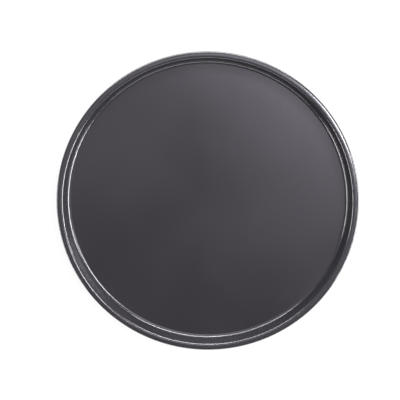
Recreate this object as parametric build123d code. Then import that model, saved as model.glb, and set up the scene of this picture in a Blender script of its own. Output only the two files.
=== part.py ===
from build123d import *
import os
from math import acos, ceil, cos, degrees, radians, sin, tan

# A round pizza pan: a shallow dish drawn from one disc of sheet steel, its edge curled round a steel wire.
# Sizes are millimetres and angles are degrees. Z points up.
# The origin is the middle of the underside of the base, on the surface that the pan stands on.

# Dish
overall_diameter = 368.0  # across the outside of the curled rim
overall_height = 19.0  # from the underside of the base to the top of the rim
sheet_gauge = 0.8  # thickness of the steel, the same all over
wall_draft = 17.0  # how far the wall leans outwards from upright
floor_corner_radius = 4.0  # inside the dish, where the floor turns up into the wall

# Rim
rim_bend_radius = 2.2  # inside of the bend, under the rim, where the wall turns outwards
crown_radius = 9.5  # top of the rim, a low arch from the rim bend to the curl
crown_inner_lean = 8.0  # how far the arch has still to climb where the rim bend ends
crown_outer_lean = 16.0  # how far the arch has turned down where the curl begins
curl_wrap = 240.0  # from the top of the curl outwards and round under it to the cut edge

# Wire in the rim
wire_diameter = 3.0
wire_clearance = 0.1  # between the wire and the inside of the curl, all round
wire_end_gap = 0.8  # between the two cut ends of the ring, where they butt at +X

# Round stretches of a section are drawn as short flats, so that the thin sheet's two faces stay parallel
turn_flatness = 0.06  # how far the flats of a turn may fall inside its true arc

# Turns, and how far the direction out of the wall leans in from straight up
quarter_turn = 90.0
half_turn = 180.0
full_turn = 360.0
wall_lean = quarter_turn - wall_draft

# Radii of the sheet's upper face, where it is the outside of the turn
curl_radius = wire_diameter / 2 + wire_clearance + sheet_gauge
rim_bend_top_radius = rim_bend_radius + sheet_gauge


def out_from(center, distance, lean):
    # The point at a distance from a centre, in the direction that leans outwards from upright by an angle.
    return (center[0] + distance * sin(radians(lean)), center[1] + distance * cos(radians(lean)))


def turn_points(center, radius, largest_radius, stops):
    # Points along a turn, through each of the leans where it stops. The flats between them are as few as the
    # largest radius round the same centre allows, so turns drawn round one centre have as many flats each.
    widest_flat = 2 * degrees(acos(1 - turn_flatness / largest_radius))
    leans = [stops[0]]
    for first, last in zip(stops, stops[1:]):
        flats = ceil(abs(last - first) / widest_flat)
        leans += [first + (last - first) * number / flats for number in range(1, flats + 1)]
    return [out_from(center, radius, lean) for lean in leans]


def section_centers():
    # Centres of the four turns of the section, worked out from the rim inwards, each tangent to the next.
    curl_x = overall_diameter / 2 - curl_radius
    curl_z = overall_height - crown_radius + (crown_radius - curl_radius) * cos(radians(crown_outer_lean))
    curl = (curl_x, curl_z)
    crown = out_from(curl, curl_radius - crown_radius, crown_outer_lean)
    rim_bend = out_from(crown, crown_radius - rim_bend_top_radius, -crown_inner_lean)
    wall_top = out_from(rim_bend, rim_bend_top_radius, -wall_lean)
    corner_z = sheet_gauge + floor_corner_radius
    wall_foot_z = corner_z - floor_corner_radius * sin(radians(wall_draft))
    wall_foot_x = wall_top[0] - (wall_top[1] - wall_foot_z) * tan(radians(wall_draft))
    corner_x = wall_foot_x - floor_corner_radius * cos(radians(wall_draft))
    return curl, crown, rim_bend, (corner_x, corner_z)


def sheet_face(depth):
    # One face of the sheet in section, from the middle of the floor out to the cut edge in the curl.
    # The depth is measured down from the face that the food lies on, so the gauge gives the underside.
    # The crown stops at its top and the curl at its widest, so that the pan has its full height and width.
    curl, crown, rim_bend, corner = section_centers()
    corner_stops = (half_turn, half_turn - wall_lean)
    rim_bend_stops = (-wall_lean, -crown_inner_lean)
    crown_stops = (-crown_inner_lean, 0, crown_outer_lean)
    curl_stops = (crown_outer_lean, quarter_turn, curl_wrap)
    corner_underside_radius = floor_corner_radius + sheet_gauge
    return [
        (0, sheet_gauge - depth),
        *turn_points(corner, floor_corner_radius + depth, corner_underside_radius, corner_stops),
        *turn_points(rim_bend, rim_bend_top_radius - depth, rim_bend_top_radius, rim_bend_stops),
        *turn_points(crown, crown_radius - depth, crown_radius, crown_stops)[1:],
        *turn_points(curl, curl_radius - depth, curl_radius, curl_stops)[1:],
    ]


def pan_body():
    # The whole pressing: floor, corner, wall, rim bend, crown and curl, turned about the upright axis.
    top_face = sheet_face(0)
    underside = sheet_face(sheet_gauge)
    section = make_face(Polyline(*top_face, *reversed(underside), close=True))
    return revolve(Plane.XZ * section, Axis.Z)


def rim_wire():
    # Round wire bent into a ring that lies in the middle of the curl, its two ends butted together.
    curl = section_centers()[0]
    wire_radius = wire_diameter / 2
    wire_stops = (0, quarter_turn, half_turn, half_turn + quarter_turn, full_turn)
    outline = turn_points(curl, wire_radius, wire_radius, wire_stops)[1:]
    section = make_face(Polyline(*outline, close=True))
    gap_turn = degrees(wire_end_gap / curl[0])
    return Rot(Z=gap_turn / 2) * revolve(Plane.XZ * section, Axis.Z, full_turn - gap_turn)


os.makedirs("parts", exist_ok=True)
for make_node in (pan_body, rim_wire):
    node = make_node()
    export_step(node, f"parts/{make_node.__name__}.step")
    print(make_node.__name__, round(node.volume), "cubic mm")
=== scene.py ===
from math import cos, pi, radians, sin, tan

import bpy
from mathutils import Matrix, Vector


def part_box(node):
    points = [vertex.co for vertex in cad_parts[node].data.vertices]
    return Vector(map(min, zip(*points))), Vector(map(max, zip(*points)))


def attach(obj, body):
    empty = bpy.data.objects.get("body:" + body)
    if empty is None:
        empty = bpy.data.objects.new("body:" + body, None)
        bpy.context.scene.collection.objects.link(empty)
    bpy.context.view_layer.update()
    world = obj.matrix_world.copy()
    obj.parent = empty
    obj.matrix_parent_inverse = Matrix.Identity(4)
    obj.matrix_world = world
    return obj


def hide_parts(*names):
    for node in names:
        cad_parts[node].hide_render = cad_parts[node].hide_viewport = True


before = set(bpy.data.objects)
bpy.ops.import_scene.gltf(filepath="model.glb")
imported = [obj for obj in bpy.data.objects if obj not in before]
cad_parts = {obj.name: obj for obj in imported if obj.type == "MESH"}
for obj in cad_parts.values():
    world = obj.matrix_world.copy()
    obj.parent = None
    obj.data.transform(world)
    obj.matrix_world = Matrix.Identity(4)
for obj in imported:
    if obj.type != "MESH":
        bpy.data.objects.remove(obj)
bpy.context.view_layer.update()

# A round pizza pan in dark non-stick coat, seen from almost straight above.
# Metres and degrees. The pan stands on z = 0 and +Y is up in the picture.

quarterTurn = 90
halfTurn = 180

pan = {
    "around": 360,  # steps round the pan
    "gauge": 0.0008,  # thickness of the sheet
    "wallDraft": 17.0,  # lean of the wall from upright
    "cornerRadius": 0.004,  # inside the dish, floor to wall
    "rimBendRadius": 0.003,  # wall to rim, on the top face
    "crownRadius": 0.0095,  # low arch of the rim's top
    "crownInnerLean": 8.0,  # how far the arch has still to climb where the rim bend ends
    "crownOuterLean": 16.0,  # how far it has turned down where the curl begins
    "curlRadius": 0.0024,  # outside of the curl
    "curlWrap": 240.0,  # from the top of the curl round to the cut edge
    "floorRings": (0.004, 0.02, 0.05, 0.09, 0.13, 0.155),  # rings of edges in the floor
    "cornerSteps": 12,
    "wallSteps": 4,
    "bendSteps": 9,
    "crownSteps": (4, 7),  # up to its top, and down to the curl
    "curlSteps": (9, 18),  # out to its widest, and round under it
    "cutEdgeRounding": 0.00015,
    "roundingSteps": 3,
    "roundedAngle": 60,  # edges sharper than this are rounded
    "smoothAngle": 35,  # edges sharper than this are shaded crisp
}


def outFrom(center, distance, lean):
    # a point at a distance from a centre, towards a direction that leans outwards from upright
    return (center[0] + distance * sin(radians(lean)), center[1] + distance * cos(radians(lean)))


def turnPoints(center, radius, stops, steps):
    # points round a turn, evenly spaced between one stop and the next
    points = [outFrom(center, radius, stops[0])]
    for first, last, count in zip(stops, stops[1:], steps):
        for number in range(1, count + 1):
            points.append(outFrom(center, radius, first + (last - first) * number / count))
    return points


def curlCenter():
    # the middle of the curl in section, as a distance from the axis and a height
    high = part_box("pan_body")[1]
    drop = (pan["crownRadius"] - pan["curlRadius"]) * cos(radians(pan["crownOuterLean"]))
    return (high[0] - pan["curlRadius"], high[2] - pan["crownRadius"] + drop)


def panSection():
    # the top face of the sheet, from the first ring of the floor out to the cut edge in the curl
    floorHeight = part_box("pan_body")[0][2] + pan["gauge"]
    wallDraft = radians(pan["wallDraft"])
    wallLean = quarterTurn - pan["wallDraft"]
    curl = curlCenter()
    crown = outFrom(curl, pan["curlRadius"] - pan["crownRadius"], pan["crownOuterLean"])
    bend = outFrom(crown, pan["crownRadius"] - pan["rimBendRadius"], -pan["crownInnerLean"])
    wallTop = outFrom(bend, pan["rimBendRadius"], -wallLean)
    cornerHeight = floorHeight + pan["cornerRadius"]
    wallFootHeight = cornerHeight - pan["cornerRadius"] * sin(wallDraft)
    wallRun = (wallTop[1] - wallFootHeight) * tan(wallDraft)
    wallFoot = (wallTop[0] - wallRun, wallFootHeight)
    corner = (wallFoot[0] - pan["cornerRadius"] * cos(wallDraft), cornerHeight)

    section = [(radius, floorHeight) for radius in pan["floorRings"]]
    cornerStops = (halfTurn, halfTurn - wallLean)
    section += turnPoints(corner, pan["cornerRadius"], cornerStops, (pan["cornerSteps"],))
    for number in range(1, pan["wallSteps"]):
        share = number / pan["wallSteps"]
        section.append(tuple(foot + (top - foot) * share for foot, top in zip(wallFoot, wallTop)))
    bendStops = (-wallLean, -pan["crownInnerLean"])
    section += turnPoints(bend, pan["rimBendRadius"], bendStops, (pan["bendSteps"],))
    crownStops = (-pan["crownInnerLean"], 0, pan["crownOuterLean"])
    section += turnPoints(crown, pan["crownRadius"], crownStops, pan["crownSteps"])[1:]
    curlStops = (pan["crownOuterLean"], quarterTurn, pan["curlWrap"])
    section += turnPoints(curl, pan["curlRadius"], curlStops, pan["curlSteps"])[1:]
    return section


def addModifier(piece, kind, **settings):
    # adds a modifier with its settings and applies it
    modifier = piece.modifiers.new(kind.title(), kind)
    for name, value in settings.items():
        setattr(modifier, name, value)
    bpy.ops.object.modifier_apply(modifier=modifier.name)


def makePanBody():
    # a small disc in the middle of the floor, its edge drawn out ring by ring up to the curl
    section = panSection()
    startRadius, startHeight = section[0]
    bpy.ops.object.select_all(action="DESELECT")
    bpy.ops.mesh.primitive_circle_add(
        vertices=pan["around"], radius=startRadius, fill_type="TRIFAN", location=(0, 0, startHeight)
    )
    piece = bpy.context.object
    piece.name = "panBody"
    bpy.ops.object.transform_apply(location=True, rotation=True, scale=True)
    bpy.ops.object.mode_set(mode="EDIT")
    bpy.ops.mesh.select_mode(type="EDGE")
    bpy.ops.mesh.select_all(action="DESELECT")
    bpy.ops.mesh.select_non_manifold()
    for (radius, height), (nextRadius, nextHeight) in zip(section, section[1:]):
        rise = {"value": (0, 0, nextHeight - height)}
        bpy.ops.mesh.extrude_edges_move(TRANSFORM_OT_translate=rise)
        wider = nextRadius / radius
        bpy.ops.transform.resize(value=(wider, wider, 1), center_override=(0, 0, 0))
    bpy.ops.object.mode_set(mode="OBJECT")

    # the sheet's thickness, downwards, and its cut edges rounded a little
    addModifier(piece, "SOLIDIFY", thickness=pan["gauge"], offset=-1, use_even_offset=True)
    rounding = {"width": pan["cutEdgeRounding"], "segments": pan["roundingSteps"]}
    limit = radians(pan["roundedAngle"])
    addModifier(piece, "BEVEL", limit_method="ANGLE", angle_limit=limit, **rounding)
    bpy.ops.object.shade_smooth_by_angle(angle=radians(pan["smoothAngle"]))
    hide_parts("pan_body")
    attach(piece, "root")
    return piece


panBody = makePanBody()
print("pan body", len(panBody.data.vertices), "points")


# Materials, worked out from Object coordinates. A range is the part of a noise's values over
# which it goes from none to all.

coat = {
    "color": (0.0253, 0.0243, 0.0277),
    "roughness": 0.17,
    "ior": 2.0,  # the mica gives the coat a dark metallic sheen
    "specularTint": (0.965, 0.957, 1.0),
    "thickColor": (0.0298, 0.0287, 0.0327),  # where the spray lies a little thicker
    "thickRoughness": 0.02,  # how much rougher it is there
    "thickSize": 0.09,
    "thickDetail": 3,
    "thickRange": (0.35, 0.65),
    "grainSize": 0.0004,  # mica and pigment
    "grainDetail": 1,
    "grainRange": (0.3, 0.7),
    "grainDark": 0.76,  # a dark grain as a share of the colour round it
    "grainPale": 1.28,
    "grainRoughness": 0.05,
    "grainHeight": 0.000005,
    "peelSize": 0.003,  # soft dimples of a sprayed coat
    "peelDetail": 1,
    "peelHeight": 0.000015,
    "rubColor": (0.062, 0.060, 0.066),  # where other pans and the shelf have rubbed it
    "rubRoughness": 0.36,
    "rubShare": 0.5,  # how much it takes of the coat's own look, at most
    "rimRubDepth": 0.0006,  # in from the top and from the outside of the rim
    "rimRubRange": (0.48, 0.72),
    "baseRubDepth": 0.0003,
    "baseRubDetail": 3,
    "baseRubRange": (0.52, 0.74),
    "scuffWidth": 0.0007,
    "scuffLength": 0.02,
    "bareSteel": (0.46, 0.45, 0.43),
    "bareRoughness": 0.40,
    "bareDepth": 0.00012,  # in from the sheet's cut edge
}

steelWire = {
    "color": (0.55, 0.54, 0.52),
    "dullColor": (0.40, 0.39, 0.375),
    "mottleSize": 0.008,
    "mottleDetail": 3,
    "mottleRange": (0.35, 0.65),
    "lineWidth": 0.00015,  # lines that the drawing die left along the wire
    "lineLength": 0.03,
    "lineRange": (0.3, 0.7),
    "lineHeight": 0.000003,
    "smoothest": 0.24,
    "roughest": 0.42,
    "cutColor": (0.22, 0.21, 0.20),
    "cutRoughness": 0.5,
    "cutReach": 0.0006,  # from the middle of the gap between the two cut ends
}


class Nodes:
    # puts nodes into a material or the world; an input takes a value or another node's socket

    def __init__(self, owner):
        owner.use_nodes = True
        self.tree = owner.node_tree

    def fill(self, node, inputs):
        # a colour is given as red, green and blue
        for key, value in dict(inputs).items():
            socket = node.inputs[key]
            if isinstance(value, bpy.types.NodeSocket):
                self.tree.links.new(value, socket)
            elif socket.type == "RGBA":
                socket.default_value = (*value, 1)
            else:
                socket.default_value = value

    def add(self, kind, inputs=(), **settings):
        node = self.tree.nodes.new("ShaderNode" + kind)
        for name, value in settings.items():
            setattr(node, name, value)
        self.fill(node, inputs)
        return node

    def math(self, operation, *values):
        return self.add("Math", enumerate(values), operation=operation).outputs[0]

    def ease(self, value, start, end, low=0, high=1):
        # goes from low to high while the value goes from start to end
        inputs = {"Value": value, "From Min": start, "From Max": end, "To Min": low, "To Max": high}
        return self.add("MapRange", inputs, interpolation_type="SMOOTHSTEP").outputs[0]

    def blend(self, share, first, second):
        # mixes two colours, which the Mix node takes at 6 and 7 and gives back at 2
        inputs = {0: share, 6: first, 7: second}
        return self.add("Mix", inputs, data_type="RGBA").outputs[2]

    def blendValues(self, share, first, second):
        return self.add("Mix", {0: share, 2: first, 3: second}, data_type="FLOAT").outputs[0]

    def place(self):
        # the point in Object coordinates
        return self.add("TexCoord").outputs["Object"]

    def apart(self, place):
        return self.add("SeparateXYZ", {0: place}).outputs[:]

    def fromAxis(self, place):
        x, y = self.apart(place)[:2]
        return self.math("SQRT", self.math("MULTIPLY_ADD", x, x, self.math("MULTIPLY", y, y)))

    def noise(self, place, size, detail):
        inputs = {"Vector": place, "Scale": 1 / size, "Detail": detail}
        return self.add("TexNoise", inputs).outputs[0]

    def streaks(self, place, width, length):
        # noise drawn out round the pan's axis, without a seam
        x, y, z = self.apart(place)
        across = {"X": self.math("DIVIDE", self.fromAxis(place), width)}
        across["Y"] = self.math("DIVIDE", z, width)
        across["Z"] = self.math("DIVIDE", x, length)
        vector = self.add("CombineXYZ", across).outputs[0]
        inputs = {"Vector": vector, "W": self.math("DIVIDE", y, length), "Scale": 1}
        return self.add("TexNoise", inputs, noise_dimensions="4D").outputs[0]

    def bump(self, height, rise, normal=None):
        inputs = {"Height": height, "Distance": rise}
        if normal:
            inputs["Normal"] = normal
        return self.add("Bump", inputs).outputs[0]


def sprayedGrain(nodes, place):
    return nodes.ease(nodes.noise(place, coat["grainSize"], coat["grainDetail"]), *coat["grainRange"])


def sprayedColor(nodes, place, grain):
    # the colour and roughness of the coat before any wear
    thick = nodes.noise(place, coat["thickSize"], coat["thickDetail"])
    thick = nodes.ease(thick, *coat["thickRange"])
    color = nodes.blend(thick, coat["color"], coat["thickColor"])
    shade = nodes.blendValues(grain, coat["grainDark"], coat["grainPale"])
    color = nodes.add("VectorMath", {0: color, "Scale": shade}, operation="SCALE").outputs[0]
    roughness = nodes.math("MULTIPLY_ADD", thick, coat["thickRoughness"], coat["roughness"])
    return color, nodes.math("MULTIPLY_ADD", grain, coat["grainRoughness"], roughness)


def rubbedShare(nodes, place):
    # light rubbing: round the rim where pans are stacked, and straight lines under the base
    z = nodes.apart(place)[2]
    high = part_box("pan_body")[1]
    topRub = nodes.ease(z, high[2] - coat["rimRubDepth"], high[2])
    sideRub = nodes.ease(nodes.fromAxis(place), high[0] - coat["rimRubDepth"], high[0])
    streaks = nodes.streaks(place, coat["scuffWidth"], coat["scuffLength"])
    streaks = nodes.ease(streaks, *coat["rimRubRange"])
    rimRub = nodes.math("MULTIPLY", nodes.math("MAXIMUM", topRub, sideRub), streaks)
    stretch = (1 / coat["scuffWidth"], 1 / coat["scuffLength"], 1)
    straight = nodes.add("VectorMath", {0: place, 1: stretch}, operation="MULTIPLY").outputs[0]
    lines = nodes.ease(nodes.noise(straight, 1, coat["baseRubDetail"]), *coat["baseRubRange"])
    baseRub = nodes.math("MULTIPLY", nodes.ease(z, coat["baseRubDepth"], 0), lines)
    return nodes.math("MULTIPLY", nodes.math("MAXIMUM", rimRub, baseRub), coat["rubShare"])


def cutShare(nodes, place):
    # 1 on the sheet's cut edge in the curl, where the steel shows, and 0 elsewhere
    curl = curlCenter()
    wrap = radians(pan["curlWrap"])
    out = nodes.math("SUBTRACT", nodes.fromAxis(place), curl[0])
    up = nodes.math("SUBTRACT", nodes.apart(place)[2], curl[1])
    along = nodes.math("MULTIPLY_ADD", up, cos(wrap), nodes.math("MULTIPLY", out, sin(wrap)))
    past = nodes.math("MULTIPLY_ADD", up, -sin(wrap), nodes.math("MULTIPLY", out, cos(wrap)))
    onEdge = nodes.math("LESS_THAN", nodes.math("ABSOLUTE", past), coat["bareDepth"])
    nearCurl = nodes.math("COMPARE", along, pan["curlRadius"] - pan["gauge"] / 2, pan["gauge"])
    return nodes.math("MULTIPLY", onEdge, nearCurl)


def nonStickCoat():
    material = bpy.data.materials.new("nonStickCoat")
    nodes = Nodes(material)
    place = nodes.place()
    grain = sprayedGrain(nodes, place)
    color, roughness = sprayedColor(nodes, place, grain)
    rubbed = rubbedShare(nodes, place)
    color = nodes.blend(rubbed, color, coat["rubColor"])
    roughness = nodes.blendValues(rubbed, roughness, coat["rubRoughness"])
    cut = cutShare(nodes, place)
    color = nodes.blend(cut, color, coat["bareSteel"])
    roughness = nodes.blendValues(cut, roughness, coat["bareRoughness"])
    peel = nodes.bump(nodes.noise(place, coat["peelSize"], coat["peelDetail"]), coat["peelHeight"])
    inputs = {
        "Base Color": color,
        "Roughness": roughness,
        "Metallic": cut,
        "Normal": nodes.bump(grain, coat["grainHeight"], peel),
        "IOR": coat["ior"],
        "Specular Tint": coat["specularTint"],
    }
    nodes.fill(nodes.tree.nodes["Principled BSDF"], inputs)
    return material


def drawnSteelWire():
    material = bpy.data.materials.new("drawnSteelWire")
    nodes = Nodes(material)
    place = nodes.place()
    mottle = nodes.noise(place, steelWire["mottleSize"], steelWire["mottleDetail"])
    mottle = nodes.ease(mottle, *steelWire["mottleRange"])
    lines = nodes.streaks(place, steelWire["lineWidth"], steelWire["lineLength"])
    lines = nodes.ease(lines, *steelWire["lineRange"])
    color = nodes.blend(mottle, steelWire["color"], steelWire["dullColor"])
    roughness = nodes.blendValues(lines, steelWire["smoothest"], steelWire["roughest"])

    # dark, rough ends where the wire was cut, at +X
    x, y = nodes.apart(place)[:2]
    nearGap = nodes.math("LESS_THAN", nodes.math("ABSOLUTE", y), steelWire["cutReach"])
    cut = nodes.math("MULTIPLY", nearGap, nodes.math("GREATER_THAN", x, 0))
    color = nodes.blend(cut, color, steelWire["cutColor"])
    roughness = nodes.blendValues(cut, roughness, steelWire["cutRoughness"])
    inputs = {
        "Base Color": color,
        "Roughness": roughness,
        "Metallic": 1,
        "Normal": nodes.bump(lines, steelWire["lineHeight"]),
    }
    nodes.fill(nodes.tree.nodes["Principled BSDF"], inputs)
    return material


panBody.data.materials.append(nonStickCoat())
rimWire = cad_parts["rim_wire"]
rimWire.material_slots[0].material = drawnSteelWire()
print("materials")


# Floor, light and camera. A glow is the brightness of what shines, where 1 is white.

white = (1.0, 1.0, 1.0)
highColor = (0.95, 0.90, 1.0)  # of the light from overhead

floor = {
    "size": 20,
    "gap": 0.0001,  # below the pan, so that the two flat faces don't mix
    "contactDepth": 0.0003,  # rays shorter than this start at the pan's base and pass through
    "color": (0.88, 0.88, 0.88),  # under the lamps
    "seenColor": (0.13, 0.13, 0.13),  # in the picture it takes only a faint shadow
    "glow": 0.92,  # in the picture, round the pan
    "farGlow": 1.0,  # where no shadow falls, so that the level stays white
    "glowReach": (0.3, 1.2),  # from the axis, between the two glows
}

# heights in the sky are 0 at the level and 1 straight up
sky = {
    "levelGlow": 1.0,
    "levelReach": (0.14, 0.25),  # where the glow of the level ends
    "highGlow": 0.38,
    "highReach": (0.65, 0.9),  # where the glow overhead begins
    "zenithGlow": 0.13,
}

# aim runs clockwise from +X, as seen in the picture, and height is degrees above level;
# each softbox faces the pan
softboxDistance = 1.6
softboxes = {
    "right": {"aim": 14, "height": 8, "size": (1.55, 0.34), "glow": 20, "color": white},
    "left": {"aim": 161, "height": 8, "size": (1.30, 0.34), "glow": 10, "color": white},
    "topLeft": {"aim": 245, "height": 8, "size": (1.30, 0.34), "glow": 9, "color": white},
    "topRight": {"aim": 285, "height": 8, "size": (1.30, 0.34), "glow": 15, "color": white},
    "topMiddle": {"aim": 262, "height": 40, "size": (1.60, 0.45), "glow": 1.3, "color": white},
    "bottom": {"aim": 90, "height": 8, "size": (2.40, 0.34), "glow": 2.6, "color": white},
    "sheen": {"aim": 342, "height": 58, "size": (0.45, 0.45), "glow": 16, "color": white},
    "overhead": {"aim": 305, "height": 74, "size": (0.90, 0.80), "glow": 1.1, "color": highColor},
    "overheadRight": {"aim": 0, "height": 74, "size": (0.80, 0.80), "glow": 0.4, "color": highColor},
    "overheadLeft": {"aim": 210, "height": 74, "size": (0.80, 0.80), "glow": 0.35, "color": highColor},
}

camera = {
    "distance": 1.5,
    "tilt": 9.35,  # from straight above, towards +Y
    "round": 5.0,  # from +Y towards +X
    "aim": (-0.00915, 0.0031, 0.009),  # the point in the middle of the picture
    "lens": 110.45,  # mm
}


def floorMaterial():
    # white to the camera and in reflections, plain to the light that falls on it; from below it
    # lets the underside of the pan be seen
    material = bpy.data.materials.new("studioFloor")
    nodes = Nodes(material)
    plain = nodes.add("BsdfDiffuse", {"Color": floor["color"]}).outputs[0]
    seen = nodes.add("BsdfDiffuse", {"Color": floor["seenColor"]}).outputs[0]
    away = nodes.fromAxis(nodes.place())
    strength = nodes.ease(away, *floor["glowReach"], floor["glow"], floor["farGlow"])
    glow = nodes.add("Emission", {"Strength": strength}).outputs[0]
    bright = nodes.add("AddShader", {0: seen, 1: glow}).outputs[0]
    path = nodes.add("LightPath").outputs
    onward = nodes.math("MAXIMUM", path["Is Glossy Ray"], path["Is Transmission Ray"])
    share = nodes.math("MAXIMUM", path["Is Camera Ray"], onward)
    above = nodes.add("MixShader", {0: share, 1: plain, 2: bright}).outputs[0]
    clear = nodes.add("BsdfTransparent").outputs[0]
    close = nodes.math("LESS_THAN", path["Ray Length"], floor["contactDepth"])
    below = nodes.math("MAXIMUM", close, nodes.add("NewGeometry").outputs["Backfacing"])
    either = nodes.add("MixShader", {0: below, 1: above, 2: clear}).outputs[0]
    nodes.fill(nodes.tree.nodes["Material Output"], {"Surface": either})
    return material


def makeFloor():
    bpy.ops.object.select_all(action="DESELECT")
    bpy.ops.mesh.primitive_plane_add(size=floor["size"], location=(0, 0, -floor["gap"]))
    plane = bpy.context.object
    plane.name = "studioFloor"
    plane.data.materials.append(floorMaterial())


def makeSky():
    # white near the level, dark above that, and a soft glow overhead that fades straight up
    world = bpy.data.worlds.new("studio")
    bpy.context.scene.world = world
    nodes = Nodes(world)
    direction = nodes.add("TexCoord").outputs["Generated"]
    height = nodes.apart(direction)[2]
    level = nodes.ease(height, *sky["levelReach"], sky["levelGlow"], 0)
    high = nodes.ease(height, *sky["highReach"], 0, sky["highGlow"])
    fall = sky["zenithGlow"] - sky["highGlow"]
    zenith = nodes.ease(height, sky["highReach"][1], 1, 0, fall)
    overhead = nodes.math("ADD", high, zenith)
    color = nodes.blend(nodes.ease(height, *sky["levelReach"]), white, highColor)
    inputs = {"Color": color, "Strength": nodes.math("ADD", level, overhead)}
    nodes.fill(nodes.tree.nodes["Background"], inputs)


def makeSoftbox(name):
    box = softboxes[name]
    light = bpy.data.lights.new(name, "AREA")
    light.shape = "RECTANGLE"
    light.size, light.size_y = box["size"]
    light.energy = box["glow"] * pi * light.size * light.size_y
    light.color = box["color"]
    lamp = bpy.data.objects.new(name, light)
    bpy.context.collection.objects.link(lamp)
    turn, height = radians(-box["aim"]), radians(box["height"])
    outwards = Vector((cos(turn) * cos(height), sin(turn) * cos(height), sin(height)))
    lamp.location = outwards * softboxDistance
    lamp.rotation_mode = "QUATERNION"
    lamp.rotation_quaternion = outwards.to_track_quat("Z", "Y")


def makeCamera():
    tilt, turn = radians(camera["tilt"]), radians(camera["round"])
    back = Vector((sin(tilt) * sin(turn), sin(tilt) * cos(turn), cos(tilt)))
    right = Vector((0, 1, 0)).cross(back).normalized()
    up = back.cross(right)
    data = bpy.data.cameras.new("camera")
    data.lens = camera["lens"]
    eye = bpy.data.objects.new("camera", data)
    bpy.context.collection.objects.link(eye)
    place = Matrix.Translation(Vector(camera["aim"]) + back * camera["distance"])
    eye.matrix_world = place @ Matrix((right, up, back)).transposed().to_4x4()
    bpy.context.scene.camera = eye


makeFloor()
makeSky()
for name in softboxes:
    makeSoftbox(name)
makeCamera()
bpy.context.scene.view_settings.view_transform = "Standard"
print("floor, light and camera")
